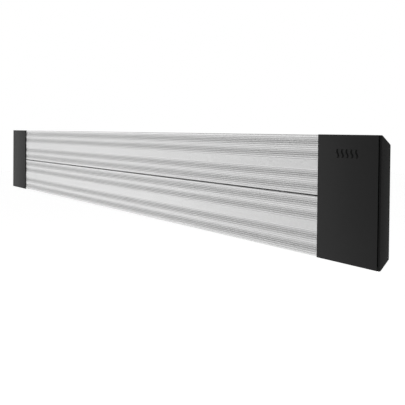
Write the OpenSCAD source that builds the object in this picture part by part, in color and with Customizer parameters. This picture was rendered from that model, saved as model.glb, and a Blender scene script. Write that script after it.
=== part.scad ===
// Wall-mounted radiant strip heater: two ribbed emitter plates between black end housings,
// on a pair of tilting brackets. Units are millimetres, +Z is up, and the heater faces -Y.
// The origin is the centre of the four wall-screw holes, on the wall's surface.

/* [Body] */
// Overall length of the heater
body_l = 1160; // [1000:10:1400]
// Overall height of the end housings
body_h = 160; // [156:1:166]
// Depth of the end housings, front to back
body_d = 22; // [22:0.5:24]
// Length of one end housing, its closing plate included
cap_l = 90; // [86:1:100]
// Depth of the flat top and bottom before the rear chamfer starts
flat_d = 3.8; // [3.4:0.1:4.2]
// Height of the rear chamfer
chamfer_h = 11.2; // [10:0.1:12]
// Wall thickness of the end housings
cover_t = 1.6; // [1.4:0.1:1.8]

/* [Emitter plates] */
// How far the end housings stand proud of the ribs
reveal = 1.8; // [1.7:0.1:1.9]
// How far the end housings stand out beyond the plates above and below
step = 0.6; // [0.5:0.1:0.7]
// Gap between the two plates
seam = 1.4; // [1:0.1:2]
// Distance from one rib to the next
rib_pitch = 2.63; // [2.5:0.01:2.7]
// Average depth of the grooves between ribs
rib_depth = 0.7; // [0.5:0.05:0.8]
// How much the groove depth rises and falls across a plate
rib_swell = 0.35; // [0:0.05:0.4]
// Half the height of the finely ribbed band over the element
band_half = 5.8; // [5:0.1:6.5]

/* [Brackets] */
// Distance from the wall to the back of the end housings
wall_gap = 70; // [68:1:90]
// Distance from the wall to the tilt axis
pivot_d = 40; // [38:1:42]
// Distance between the two brackets
bracket_pitch = 700; // [500:10:760]
// Distance between a bracket's two wall screws
screw_pitch = 50; // [44:1:54]
// Radius of the wall-screw holes
screw_hole_r = 2.75; // [2.5:0.05:3]
// Radius of the pivot bolts
pivot_r = 4; // [3.5:0.5:4]

/* [Cable entry] */
// Distance of the cable gland from the left end
gland_in = 50; // [48:1:54]
// Radius of the hole in the gland's seal
cable_r = 4.1; // [3:0.1:4.3]

/* [Hidden] */
$fn = 48;

eps = 0.02;
half_l = body_l / 2;
half_h = body_h / 2;
front_y = -(wall_gap + body_d);
back_y = -wall_gap;

// Rear chamfer of the cross-section: its run, its slope and its unit normal (y, z)
chamfer_run = body_d - flat_d;
chamfer_len = sqrt(chamfer_run * chamfer_run + chamfer_h * chamfer_h);
normal_y = chamfer_h / chamfer_len;
normal_z = chamfer_run / chamfer_len;

// End housings: the sleeve stops short of the end plate and leaves a shadow gap
end_plate_t = 1.5;
shadow_gap = 1.6;
shadow_depth = 4.5;
cap_in = half_l - cap_l;
sleeve_end = half_l - end_plate_t - shadow_gap;
plug_in = half_l - 12;
spigot_l = 10;
cover_front_in = front_y + cover_t;

// Sheet-steel rear housing between the end housings
housing_t = 1;
housing_end = cap_in - 0.2;
housing_back = back_y - step;
housing_floor = housing_back - housing_t;
return_w = 8;

// Emitter plates
plate_h = (body_h - 2 * step - seam) / 2;
plate_z = (seam + plate_h) / 2;
plate_end = cap_in + 14;
crest_y = front_y + reveal;
plate_back = crest_y + 3.4;
// Least width of the flat land left at each edge of a plate
edge_land = 1.9;
swell_period = 16.1;
ribs_per_side = floor((plate_h / 2 - band_half - edge_land) / rib_pitch);
fine_ribs = 8;
fine_depth = 0.25;
rail_end = cap_in - 18;

// T-slot rails and element channel on the back of each plate
rail_offset = 13;
rail_half = 5.5;
rail_back = plate_back + 7.4;
slot_neck = 2.3;
slot_half = 3.9;
slot_front = plate_back + 2;
slot_back = rail_back - 2;
boss_half = 7.6;
boss_back = plate_back + 3.4;

// Heating elements
element_r = 3.2;
element_y = plate_back + 3.6;
element_end = half_l - 40;
clip_x = [for (x = [-450, -300, -100, 100, 300, 450]) x * (cap_in - 20) / 470];
clip_half_x = 7;
clip_t = 0.8;

// Cross bars
bar_x = [for (i = [-2 : 2]) i * 200];
bar_w = 20;
bar_t = 1.2;
bar_leg_z = 59.7;
bar_foot_z = 67.6;
bar_screw_z = 63.7;
bar_back = rail_back + bar_t;
m4_r = 2;

// Shield and mat
shield_front = bar_back + 2.4;
shield_t = 0.3;
mat_front = shield_front + shield_t;
mat_half_h = 67.5;
mat_end = cap_in - 22;

// Bulkheads
bulkhead_x = cap_in - 16;
bulkhead_t = 1;

// Brackets
ear_t = 3;
ear_in = 15;
wall_t = 3;
wall_half_w = 30;
wall_half_h = 35;
ear_r = 14;
lug_t = 2.5;
lug_ear_out = 14;
lug_half_w = 27;
lug_half_h = 25;
lug_r = 12;
lug_back = housing_back + lug_t;
pivot_y = -pivot_d;
running_gap = 0.05;
stud_r = 2.5;
stud_x = 20.5;
stud_z = 16;
stud_end = lug_back + 8;

// Cable gland and wiring, in the left end housing
gland_x = -(half_l - gland_in);
gland_z = -14;
block_x = -(half_l - 38);
block_z = 16;
block_l = 34;
block_w = 18;
block_h = 13;
block_floor = back_y - cover_t;
wire_r = 1.2;
terminal_x = element_end + 20;

// Runs its child profile, drawn in (y, z), from x0 to x1 along X
module along_x(x0, x1) {
  translate([x0, 0, 0]) rotate([90, 0, 90]) linear_extrude(x1 - x0) children();
}

// A round bar along X, along Y, or between two points
module rod_x(x0, x1, r) {
  translate([x0, 0, 0]) rotate([0, 90, 0]) cylinder(h = x1 - x0, r = r);
}
module rod_y(y0, y1, r) {
  translate([0, y0, 0]) rotate([-90, 0, 0]) cylinder(h = y1 - y0, r = r);
}
module rod_between(p, q, r) {
  d = q - p;
  translate(p) rotate([0, acos(d.z / norm(d)), atan2(d.y, d.x)]) cylinder(h = norm(d), r = r);
}

// An insulated wire through a list of points, with a slightly larger ball at each bend
module wire(points, r) {
  for (i = [0 : len(points) - 2]) rod_between(points[i], points[i + 1], r);
  for (i = [1 : len(points) - 2]) translate(points[i]) sphere(r = r + 0.04, $fn = 24);
}

// A hexagon along Y, by its width across flats
module hex_y(y0, y1, across) {
  translate([0, y0, 0]) rotate([-90, 0, 0]) cylinder(h = y1 - y0, r = across / sqrt(3), $fn = 6);
}
module hex_x(x0, x1, across) {
  translate([x0, 0, 0]) rotate([0, 90, 0]) cylinder(h = x1 - x0, r = across / sqrt(3), $fn = 6);
}

module box(lo, hi) {
  translate(lo) cube(hi - lo);
}

// Height of the chamfer at depth y, on the cross-section shrunk by inset
function chamfer_z(y, inset) =
  half_h + (-inset - normal_y * (y - front_y - flat_d)) / normal_z;
function flat_end_y(inset) = front_y + flat_d - inset * (1 - normal_z) / normal_y;

// Upper half of the cross-section from depth y0 to y1, mirrored to give the whole
function half_section(inset, y0, y1) = [
  [y0, half_h - inset],
  [flat_end_y(inset), half_h - inset],
  [y1, chamfer_z(y1, inset)]
];
function whole_section(inset, y0, y1) =
  let (upper = half_section(inset, y0, y1))
  concat(upper, [for (i = [len(upper) - 1 : -1 : 0]) [upper[i].x, -upper[i].y]]);

// The section below the flat: from a depth on the chamfer to the back
function rear_section(inset, y0, y1) = [
  [y0, chamfer_z(y0, inset)],
  [y1, chamfer_z(y1, inset)],
  [y1, -chamfer_z(y1, inset)],
  [y0, -chamfer_z(y0, inset)]
];

// ---- Wall brackets (fixed body) ----

module ear(x0, x1, base_half, r, base_y) {
  along_x(x0, x1) polygon([
    [base_y, base_half],
    [pivot_y, r],
    [pivot_y, -r],
    [base_y, -base_half]
  ]);
  translate([0, pivot_y, 0]) rod_x(x0, x1, r);
}

module wall_bracket(x) {
  color("darkgray") translate([x, 0, 0]) difference() {
    union() {
      box([-wall_half_w + 6, -wall_t, -wall_half_h], [wall_half_w - 6, 0, wall_half_h]);
      box([-wall_half_w, -wall_t, -wall_half_h + 6], [wall_half_w, 0, wall_half_h - 6]);
      for (sx = [-1, 1], sz = [-1, 1])
        translate([sx * (wall_half_w - 6), 0, sz * (wall_half_h - 6)]) rod_y(-wall_t, 0, 6);
      ear(-ear_in - ear_t, -ear_in, 20, ear_r, -wall_t + 0.5);
      ear(ear_in, ear_in + ear_t, 20, ear_r, -wall_t + 0.5);
    }
    translate([0, pivot_y, 0]) rod_x(-30, 30, pivot_r + running_gap);
    for (s = [-1, 1]) translate([0, 0, s * screw_pitch / 2]) rod_y(-wall_t - 1, 1, screw_hole_r);
  }
}

module wall_bracket_left() { wall_bracket(-bracket_pitch / 2); }
module wall_bracket_right() { wall_bracket(bracket_pitch / 2); }

module pivot_bolt(x) {
  color("silver") translate([x, pivot_y, 0]) {
    rod_x(-ear_in - ear_t - 1, ear_in + ear_t + 9, pivot_r);
    hex_x(-ear_in - ear_t - 5.3, -ear_in - ear_t, 13);
  }
}

module pivot_bolt_left() { pivot_bolt(-bracket_pitch / 2); }
module pivot_bolt_right() { pivot_bolt(bracket_pitch / 2); }

module pivot_nuts() {
  color("silver") for (s = [-1, 1]) translate([s * bracket_pitch / 2, pivot_y, 0])
    difference() {
      union() {
        rod_x(ear_in + ear_t, ear_in + ear_t + 1.4, 8);
        hex_x(ear_in + ear_t + 1.3, ear_in + ear_t + 7.8, 13);
      }
      rod_x(ear_in, ear_in + ear_t + 12, pivot_r + running_gap);
    }
}

// Nylon washers between the ears, held on the pivot bolts
module pivot_washers() {
  color("white") for (s = [-1, 1], e = [-1, 1])
    translate([s * bracket_pitch / 2 + e * (ear_in - 0.45), pivot_y, 0]) difference() {
      rod_x(-0.45, 0.45, 9);
      rod_x(-1, 1, pivot_r + running_gap);
    }
}

// ---- Tilt lugs on the back of the heater ----

module tilt_lug(x) {
  color("gainsboro") translate([x, 0, 0]) difference() {
    union() {
      box([-lug_half_w, housing_back, -lug_half_h], [lug_half_w, lug_back, lug_half_h]);
      ear(-lug_ear_out, -lug_ear_out + lug_t, 17, lug_r, lug_back - 0.5);
      ear(lug_ear_out - lug_t, lug_ear_out, 17, lug_r, lug_back - 0.5);
    }
    translate([0, pivot_y, 0]) rod_x(-30, 30, pivot_r + running_gap);
    for (sx = [-1, 1], sz = [-1, 1])
      translate([sx * stud_x, 0, sz * stud_z]) rod_y(housing_back - 1, lug_back + 1, stud_r + 0.3);
  }
}

module tilt_lug_left() { tilt_lug(-bracket_pitch / 2); }
module tilt_lug_right() { tilt_lug(bracket_pitch / 2); }

module at_studs() {
  for (s = [-1, 1], sx = [-1, 1], sz = [-1, 1])
    translate([s * bracket_pitch / 2 + sx * stud_x, 0, sz * stud_z]) children();
}

module lug_washers() {
  color("silver") at_studs() difference() {
    rod_y(lug_back, lug_back + 1, 5);
    rod_y(lug_back - 1, lug_back + 2, stud_r + 0.2);
  }
}

module lug_nuts() {
  color("silver") at_studs() difference() {
    hex_y(lug_back + 1, lug_back + 5, 8);
    rod_y(lug_back, lug_back + 6, stud_r + 0.1);
  }
}

// ---- Rear housing ----

// Folded steel tray: back, two chamfered sides and two return flanges behind the plates
module rear_housing() {
  edge_y = plate_back + 0.3;
  color("lightgray") difference() {
    union() {
      difference() {
        along_x(-housing_end, housing_end) polygon(rear_section(step, edge_y, housing_back));
        along_x(-half_l, half_l)
          polygon(rear_section(step + housing_t, edge_y + housing_t, housing_floor));
        box(
          [-half_l, edge_y - 1, -chamfer_z(edge_y, step) + return_w],
          [half_l, edge_y + housing_t + eps, chamfer_z(edge_y, step) - return_w]
        );
      }
      at_studs() rod_y(housing_floor + 0.4, stud_end, stud_r);
    }
    at_bar_screws() rod_y(housing_floor - 1, housing_back + 1, m4_r + 0.15);
    at_cover_screws() rod_y(housing_floor - 1, housing_back + 1, m4_r + 0.15);
  }
}

// ---- Emitter plates ----

// Depth of the face below the rib crests, at height u from the plate's middle
function groove(u) =
  let (a = abs(u), end = band_half + ribs_per_side * rib_pitch)
  a >= end ? 0
  : a > band_half
    ? (rib_depth - rib_swell * cos(360 * (a - 5.45) / swell_period))
      * (0.5 - 0.5 * cos(360 * (a - band_half) / rib_pitch))
  : fine_depth * (0.5 - 0.5 * cos(360 * (band_half - a) * fine_ribs / 2 / band_half));

rib_samples = concat(
  [for (i = [0 : ribs_per_side * 6 - 1]) band_half + (ribs_per_side - i / 6) * rib_pitch],
  [for (i = [0 : fine_ribs * 6]) band_half * (1 - i / fine_ribs / 3)],
  [for (i = [1 : ribs_per_side * 6]) -band_half - i / 6 * rib_pitch]
);

// Profile of one plate in (y, z), its middle at z = 0; the outer edge follows the chamfer
function plate_profile(z0) = concat(
  [[crest_y, plate_h / 2]],
  [for (u = rib_samples) [crest_y + groove(u), u]],
  [
    [crest_y, -plate_h / 2],
    [plate_back, -plate_h / 2],
    [plate_back, chamfer_z(plate_back, step) - z0],
    [flat_end_y(step), plate_h / 2]
  ]
);

// Upper plate; its corners are coped to pass under the end housings
module emitter_plate() {
  cope_z = chamfer_z(plate_back, cover_t) - 0.3;
  color("silver") difference() {
    union() {
      along_x(-plate_end, plate_end)
        translate([0, plate_z]) polygon(plate_profile(plate_z));
      for (s = [-1, 1]) box(
        [-rail_end, plate_back - 0.5, plate_z + s * rail_offset - rail_half],
        [rail_end, rail_back, plate_z + s * rail_offset + rail_half]
      );
      box(
        [-rail_end, plate_back - 0.5, plate_z - boss_half],
        [rail_end, boss_back, plate_z + boss_half]
      );
    }
    for (s = [-1, 1]) {
      translate([0, 0, plate_z + s * rail_offset]) {
        box([-half_l, slot_front, -slot_half], [half_l, slot_back, slot_half]);
        box([-half_l, slot_back - 1, -slot_neck], [half_l, rail_back + 1, slot_neck]);
      }
      mirror([s < 0 ? 1 : 0, 0, 0])
        box([cap_in - 0.8, front_y, cope_z], [half_l, back_y, half_h]);
    }
    translate([0, element_y, plate_z]) rod_x(-half_l, half_l, element_r + 0.05);
  }
}

module emitter_plate_upper() { emitter_plate(); }
module emitter_plate_lower() { mirror([0, 0, 1]) emitter_plate(); }

// ---- Heating elements ----

module at_elements() {
  for (s = [-1, 1]) translate([0, element_y, s * plate_z]) children();
}

module heating_element_upper() {
  color("dimgray") translate([0, element_y, plate_z]) rod_x(-element_end, element_end, element_r);
}
module heating_element_lower() {
  color("dimgray") translate([0, element_y, -plate_z]) rod_x(-element_end, element_end, element_r);
}

// Ceramic beads on the cold ends
module element_insulators() {
  color("ivory") at_elements() for (s = [-1, 1]) mirror([s < 0 ? 1 : 0, 0, 0]) {
    rod_x(element_end, element_end + 5, 5);
    rod_x(element_end + 5, element_end + 9, 3.6);
  }
}

// Threaded ends with a nut each side of the ring terminals
module element_terminals() {
  color("gold") at_elements() for (s = [-1, 1]) mirror([s < 0 ? 1 : 0, 0, 0]) {
    rod_x(element_end + 9, element_end + 26, 2);
    hex_x(element_end + 10, element_end + 13, 7);
    hex_x(element_end + 21.5, element_end + 24.5, 7);
  }
}

// Spring-steel saddles that press each element into its channel, sprung between the rails
module element_clips() {
  foot_z = rail_offset - rail_half - 0.1;
  color("silver") for (x = clip_x, s = [-1, 1]) translate([x, element_y, s * plate_z])
    difference() {
      union() {
        rod_x(-clip_half_x, clip_half_x, element_r + clip_t);
        box([-clip_half_x, boss_back - element_y, -foot_z],
            [clip_half_x, boss_back - element_y + clip_t, foot_z]);
      }
      rod_x(-clip_half_x - 1, clip_half_x + 1, element_r + eps);
      box([-clip_half_x - 1, -10, -20], [clip_half_x + 1, boss_back - element_y, 20]);
    }
}

// ---- Cross bars ----

// Upper half of a bar's outline in (y, z): outer side, then inner side
bar_outer = [
  [housing_floor, bar_foot_z],
  [housing_floor - bar_t, bar_foot_z],
  [housing_floor - bar_t, bar_leg_z],
  [rail_back, bar_leg_z]
];
bar_inner = [
  [bar_back, bar_leg_z - bar_t],
  [housing_floor, bar_leg_z - bar_t]
];

function turned_over(points) =
  [for (i = [len(points) - 1 : -1 : 0]) [points[i].x, -points[i].y]];

// Hat-shaped strap that carries both plates and stands on the back of the housing
module cross_bar(i) {
  color("silver") difference() {
    along_x(bar_x[i] - bar_w / 2, bar_x[i] + bar_w / 2)
      polygon(concat(bar_outer, turned_over(bar_outer), turned_over(bar_inner), bar_inner));
    translate([bar_x[i], 0, 0]) {
      at_rails() rod_y(rail_back - 1, bar_back + 1, m4_r + 0.15);
      for (s = [-1, 1]) translate([0, 0, s * bar_screw_z])
        rod_y(housing_floor - bar_t - 1, housing_floor + 1, m4_r + 0.15);
    }
  }
}

module at_rails() {
  for (sz = [-1, 1], s = [-1, 1]) translate([0, 0, sz * plate_z + s * rail_offset]) children();
}

module at_bar_screws() {
  for (x = bar_x, s = [-1, 1]) translate([x, 0, s * bar_screw_z]) children();
}

module cross_bar_1() { cross_bar(0); }
module cross_bar_2() { cross_bar(1); }
module cross_bar_3() { cross_bar(2); }
module cross_bar_4() { cross_bar(3); }
module cross_bar_5() { cross_bar(4); }

// Square-headed bolts in the T-slots
module bar_bolts() {
  head_t = 2.8;
  color("silver") for (x = bar_x) translate([x, 0, 0]) at_rails() {
    box([-3.5, slot_back - head_t, -3.5], [3.5, slot_back, 3.5]);
    rod_y(slot_back - 1, bar_back + 2.3, m4_r);
  }
}

// Thin nuts behind each bar, and nuts on its feet
module bar_nuts() {
  nut_t = 2.2;
  color("silver") {
    for (x = bar_x) translate([x, 0, 0]) at_rails() difference() {
      hex_y(bar_back, bar_back + nut_t, 7);
      rod_y(bar_back - 1, bar_back + 3, m4_r + 0.1);
    }
    at_bar_screws() difference() {
      hex_y(housing_floor - bar_t - nut_t, housing_floor - bar_t, 7);
      rod_y(housing_floor - 5, housing_floor, m4_r + 0.1);
    }
  }
}

// Pan-headed screw along Y: shank from y0 to y1, head from y1
module pan_screw(y0, y1, r, head_r, head_t) {
  rod_y(y0, y1 + 0.2, r);
  difference() {
    union() {
      rod_y(y1, y1 + head_t * 0.6, head_r);
      translate([0, y1 + head_t * 0.6, 0]) rotate([-90, 0, 0])
        cylinder(h = head_t * 0.4, r1 = head_r, r2 = head_r * 0.75);
    }
    for (a = [0, 90]) rotate([0, a, 0])
      box([-head_r * 0.55, y1 + head_t * 0.45, -0.35], [head_r * 0.55, y1 + head_t + 1, 0.35]);
  }
}

module bar_screws() {
  color("silver") at_bar_screws()
    pan_screw(housing_floor - bar_t - 3, housing_back, m4_r, 3.8, 2.4);
}

// ---- Shield and mat behind the elements ----

module foot_notches() {
  for (x = bar_x, s = [0, 1]) mirror([0, 0, s])
    box([x - bar_w / 2 - 1.5, rail_back, bar_leg_z - bar_t - 0.7],
        [x + bar_w / 2 + 1.5, back_y, half_h]);
}

module heat_shield() {
  color("white") difference() {
    box([-mat_end, shield_front, -mat_half_h], [mat_end, mat_front, mat_half_h]);
    foot_notches();
  }
}

module insulation_mat() {
  color("ivory") difference() {
    box([-mat_end, mat_front, -mat_half_h], [mat_end, housing_floor, mat_half_h]);
    foot_notches();
  }
}

// ---- Bulkheads between the hot section and the end housings ----

module bulkhead() {
  color("silver") difference() {
    along_x(bulkhead_x, bulkhead_x + bulkhead_t)
      polygon(rear_section(step + housing_t, plate_back + 1.6, housing_floor));
    at_elements() rod_x(bulkhead_x - 1, bulkhead_x + 2, element_r + 0.3);
  }
}

module bulkhead_right() { bulkhead(); }
module bulkhead_left() { mirror([1, 0, 0]) bulkhead(); }

// ---- End housings ----

module at_cover_screws() {
  for (sx = [-1, 1], sz = [-1, 1]) translate([sx * (cap_in - 5), 0, sz * 50]) children();
}

module at_plug_screws() {
  for (sz = [-1, 1]) translate([plug_in + 4, 0, sz * 45]) children();
}

// Sleeve with a spigot that enters the rear housing
module end_cover() {
  spigot_y = plate_back + 1.8;
  color("dimgray") difference() {
    union() {
      difference() {
        along_x(cap_in, sleeve_end) polygon(whole_section(0, front_y, back_y));
        along_x(cap_in - 1, sleeve_end + 1)
          polygon(whole_section(cover_t, cover_front_in, back_y - cover_t));
      }
      difference() {
        union() {
          along_x(cap_in, cap_in + 6)
            polygon(rear_section(cover_t - 0.1, spigot_y, back_y - cover_t + 0.1));
          along_x(cap_in - spigot_l, cap_in + 1)
            polygon(rear_section(step + housing_t + 0.2, spigot_y, housing_floor - 0.2));
        }
        along_x(cap_in - spigot_l - 1, cap_in + 7)
          polygon(rear_section(3.2, spigot_y - 1, back_y - 3.2));
      }
    }
    at_cover_screws() rod_y(back_y - 5, back_y, m4_r + 0.1);
    at_plug_screws() rod_y(back_y - 5, back_y + 1, 1.6);
  }
}

module end_cover_right() { end_cover(); }
module end_cover_left() {
  difference() {
    mirror([1, 0, 0]) end_cover();
    translate([gland_x, 0, gland_z]) rod_y(back_y - 5, back_y + 1, 8.1);
  }
}

// Closing plate with a plug rim; the rim's outer part keeps clear of the shadow gap
module end_plate() {
  rim_t = 1.6;
  plate_in = half_l - end_plate_t;
  color("dimgray") difference() {
    union() {
      along_x(plate_in, half_l) polygon(whole_section(0, front_y, back_y));
      along_x(plug_in, plate_in + 0.2)
        polygon(rear_section(shadow_depth, front_y + shadow_depth, back_y - shadow_depth));
      along_x(plug_in, sleeve_end - 0.3)
        polygon(whole_section(cover_t + 0.2, front_y + cover_t + 0.2, back_y - cover_t - 0.2));
    }
    along_x(plug_in - 1, plate_in) polygon(rear_section(
      shadow_depth + rim_t, front_y + shadow_depth + rim_t, back_y - shadow_depth - rim_t
    ));
    at_plug_screws() rod_y(back_y - 10, back_y, 1.6);
  }
}

module end_plate_right() { end_plate(); }
module end_plate_left() { mirror([1, 0, 0]) end_plate(); }

module cover_screws() {
  color("silver") at_cover_screws() pan_screw(back_y - 5, housing_back, m4_r, 3.8, 2.4);
}

module end_plate_screws() {
  color("dimgray") for (s = [0, 1]) mirror([s, 0, 0]) at_plug_screws()
    pan_screw(back_y - 6, back_y, 1.5, 2.8, 1.6);
}

// Row of wavy strokes, the usual sign for radiant heat
module badge() {
  badge_z = half_h - 23.5;
  waves = 5;
  pitch = 6.8;
  stroke_h = 10.6;
  stroke_w = 2.6;
  sway = 1.1;
  steps = 12;
  side = [for (i = [0 : steps]) [sway * sin(360 * i / steps), stroke_h * (i / steps - 0.5)]];
  outline = concat(
    [for (p = side) [p.x - stroke_w / 2, p.y]],
    [for (i = [steps : -1 : 0]) [side[i].x + stroke_w / 2, side[i].y]]
  );
  middle_x = (cap_in + sleeve_end) / 2;
  color("black") for (k = [0 : waves - 1])
    translate([middle_x + (k - (waves - 1) / 2) * pitch, front_y, badge_z])
      rotate([90, 0, 0]) linear_extrude(0.5) polygon(outline);
}

// ---- Wiring, in the left end housing ----

pole_x = [for (k = [-1 : 1]) block_x + k * 11];
block_face = block_floor - block_h;

module terminal_block() {
  color("ivory") difference() {
    box([block_x - block_l / 2, block_face, block_z - block_w / 2],
        [block_x + block_l / 2, block_floor, block_z + block_w / 2]);
    for (x = pole_x) {
      for (s = [-1, 1]) translate([x, 0, block_z + s * 5]) rod_y(block_face - 1, block_face + 4, 2.5);
      translate([x, block_floor - 8, block_z - 10]) cylinder(h = 4, r = wire_r + 0.2);
      translate([x, block_floor - 8, block_z + 6]) cylinder(h = 4, r = wire_r + 0.2);
    }
    for (k = [-1, 1]) box(
      [block_x + k * 5.5 - 0.8, block_face - 1, block_z - 10],
      [block_x + k * 5.5 + 0.8, block_face + 3, block_z + 10]
    );
  }
}

module terminal_screws() {
  color("gold") for (x = pole_x, s = [-1, 1]) translate([x, block_face, block_z + s * 5])
    difference() {
      rod_y(1, 3.7, 2.4);
      box([-3, 0, -0.4], [3, 1.8, 0.4]);
    }
}

earth_x = -(half_l - 75);
earth_z = -14;

module earth_stud() {
  color("gold") translate([earth_x, 0, earth_z]) {
    rod_y(block_floor - 9, block_floor, 2);
    hex_y(block_floor - 3.2, block_floor, 7);
    rod_y(block_floor - 5.2, block_floor - 3.1, 3.6);
    hex_y(block_floor - 8, block_floor - 5.1, 7);
  }
}

// Bimetal cut-out on the outer face of the left bulkhead
cutout_x = -(bulkhead_x + bulkhead_t);
cutout_y = back_y - 9.4;
cutout_z = 18;

module thermal_cutout() {
  color("dimgray") translate([cutout_x, cutout_y, cutout_z]) {
    rod_x(-5, 0, 5.7);
    rod_x(-7.5, -4.9, 4);
    for (s = [-1, 1]) box([-13, -0.4, s * 2.6 - 1.2], [-7, 0.4, s * 2.6 + 1.2]);
  }
}

// Wire ends: at the block, at the cut-out's tabs and at the elements' terminals
wire_y = block_floor - 8;
tab_x = cutout_x - 13;
element_wire_z = plate_z - 3.5;

module live_wire() {
  color("brown") wire([
    [pole_x[0], wire_y, block_z + 7],
    [pole_x[0], wire_y, 31],
    [tab_x - 12, wire_y, 31],
    [tab_x - 1.5, cutout_y, cutout_z + 3]
  ], wire_r);
}

module switched_wire() {
  color("brown") wire([
    [-terminal_x, element_y, element_wire_z],
    [-(terminal_x - 2), block_floor - 4.4, 28],
    [tab_x - 14, block_floor - 4.4, 28],
    [tab_x - 1.5, cutout_y, cutout_z - 3]
  ], wire_r);
}

module neutral_wire() {
  color("steelblue") wire([
    [pole_x[1], wire_y, block_z - 7],
    [pole_x[1], wire_y, 2],
    [-(terminal_x + 3), wire_y, 2],
    [-(terminal_x + 3), wire_y, -30],
    [-terminal_x, element_y, -element_wire_z]
  ], wire_r);
}

module link_wire() {
  color("brown") wire([
    [terminal_x, element_y, element_wire_z],
    [terminal_x + 3, wire_y, 30],
    [terminal_x + 3, wire_y, -30],
    [terminal_x, element_y, -element_wire_z]
  ], wire_r);
}

module earth_wire() {
  color("yellowgreen") wire([
    [pole_x[2], wire_y, block_z - 7],
    [pole_x[2], wire_y, 1],
    [earth_x, wire_y, -1],
    [earth_x, block_floor - 6, earth_z + 5.2]
  ], wire_r);
}

// ---- Cable gland, on the back of the left end housing ----

module at_gland() {
  translate([gland_x, 0, gland_z]) children();
}

module gland_body() {
  color("dimgray") at_gland() difference() {
    union() {
      rod_y(back_y - 7, back_y + 1, 8);
      hex_y(back_y, back_y + 5, 22);
      rod_y(back_y + 4.9, back_y + 13, 7.4);
    }
    rod_y(back_y - 8, back_y + 14, 5.4);
  }
}

module gland_locknut() {
  color("dimgray") at_gland() difference() {
    hex_y(block_floor - 4, block_floor, 22);
    rod_y(block_floor - 5, block_floor + 1, 8.1);
  }
}

module gland_dome() {
  color("dimgray") at_gland() difference() {
    union() {
      hex_y(back_y + 5.2, back_y + 13, 20);
      translate([0, back_y + 13 - eps, 0]) rotate([-90, 0, 0]) cylinder(h = 6, r1 = 9.6, r2 = 6.6);
    }
    rod_y(back_y + 5, back_y + 13.3, 7.5);
    rod_y(back_y + 13, back_y + 17.5, 5.5);
    rod_y(back_y + 17, back_y + 20, cable_r + 0.5);
  }
}

module gland_seal() {
  color("black") at_gland() difference() {
    rod_y(back_y + 7, back_y + 17.4, 5.3);
    rod_y(back_y + 6, back_y + 18, cable_r);
  }
}

wall_bracket_left();
wall_bracket_right();
pivot_bolt_left();
pivot_bolt_right();
pivot_nuts();
pivot_washers();
tilt_lug_left();
tilt_lug_right();
lug_nuts();
lug_washers();
rear_housing();
emitter_plate_upper();
emitter_plate_lower();
heating_element_upper();
heating_element_lower();
element_insulators();
element_terminals();
element_clips();
cross_bar_1();
cross_bar_2();
cross_bar_3();
cross_bar_4();
cross_bar_5();
bar_bolts();
bar_nuts();
bar_screws();
heat_shield();
insulation_mat();
bulkhead_left();
bulkhead_right();
end_cover_left();
end_cover_right();
end_plate_left();
end_plate_right();
cover_screws();
end_plate_screws();
badge();
terminal_block();
terminal_screws();
earth_stud();
thermal_cutout();
live_wire();
switched_wire();
neutral_wire();
link_wire();
earth_wire();
gland_body();
gland_locknut();
gland_dome();
gland_seal();
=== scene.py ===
# Wall-mounted radiant strip heater, in the order in which it is put together.
import math

import bmesh
import bpy
from mathutils import Matrix, Vector


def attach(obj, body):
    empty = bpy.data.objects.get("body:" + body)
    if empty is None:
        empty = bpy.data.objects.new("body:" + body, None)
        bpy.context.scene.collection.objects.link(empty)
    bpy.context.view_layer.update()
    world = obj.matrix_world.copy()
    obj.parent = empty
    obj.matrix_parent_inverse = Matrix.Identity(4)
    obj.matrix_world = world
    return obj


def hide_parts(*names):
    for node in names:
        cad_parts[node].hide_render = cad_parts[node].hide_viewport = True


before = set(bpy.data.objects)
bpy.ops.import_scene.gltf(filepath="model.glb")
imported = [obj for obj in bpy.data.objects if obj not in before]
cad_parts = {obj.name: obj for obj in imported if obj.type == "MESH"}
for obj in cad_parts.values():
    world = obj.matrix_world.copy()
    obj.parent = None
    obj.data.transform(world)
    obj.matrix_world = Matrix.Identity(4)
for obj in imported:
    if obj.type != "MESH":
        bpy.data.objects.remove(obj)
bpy.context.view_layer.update()  # bodies and nodes

# ---- Studio ----
# The heater hangs in a white room over a pale floor. One wide soft box stands on its left,
# one hangs over it, and the camera looks along the front from the right.
camera_data = bpy.data.cameras.new("camera")
camera_data.sensor_width = 36
camera_data.lens = 46.234
camera_data.shift_y = -0.1569
camera_data.clip_end = 40
camera = bpy.data.objects.new("camera", camera_data)
bpy.context.scene.collection.objects.link(camera)
camera_place = (0.9072, -0.6417, 0.08238)
camera_turn = math.radians(49.720)
camera_tilt = math.radians(-0.845)
camera_roll = math.radians(0.579)
camera.matrix_world = (
    Matrix.Translation(camera_place)
    @ Matrix.Rotation(camera_turn, 4, "Z")
    @ Matrix.Rotation(math.pi / 2 + camera_tilt, 4, "X")
    @ Matrix.Rotation(camera_roll, 4, "Z")
)
bpy.context.scene.camera = camera
bpy.context.scene.view_settings.view_transform = "Standard"

room = bpy.data.worlds.new("white_room")
room.use_nodes = True
room_nodes = room.node_tree.nodes
room_links = room.node_tree.links
room_side = room_nodes.new("ShaderNodeSeparateXYZ")
room_links.new(room_nodes.new("ShaderNodeTexCoord").outputs["Generated"], room_side.inputs[0])
white_wall = 1.0
front_wall = 0.68
ceiling = 0.55
right_wall = 0.6


def room_ramp(axis, start, end, low, high):
    """Brightness that changes smoothly along one direction of the room."""
    ramp = room_nodes.new("ShaderNodeMapRange")
    ramp.interpolation_type = "SMOOTHSTEP"
    room_links.new(room_side.outputs[axis], ramp.inputs["Value"])
    for key, value in (("From Min", start), ("From Max", end), ("To Min", low), ("To Max", high)):
        ramp.inputs[key].default_value = value
    return ramp.outputs[0]


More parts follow.
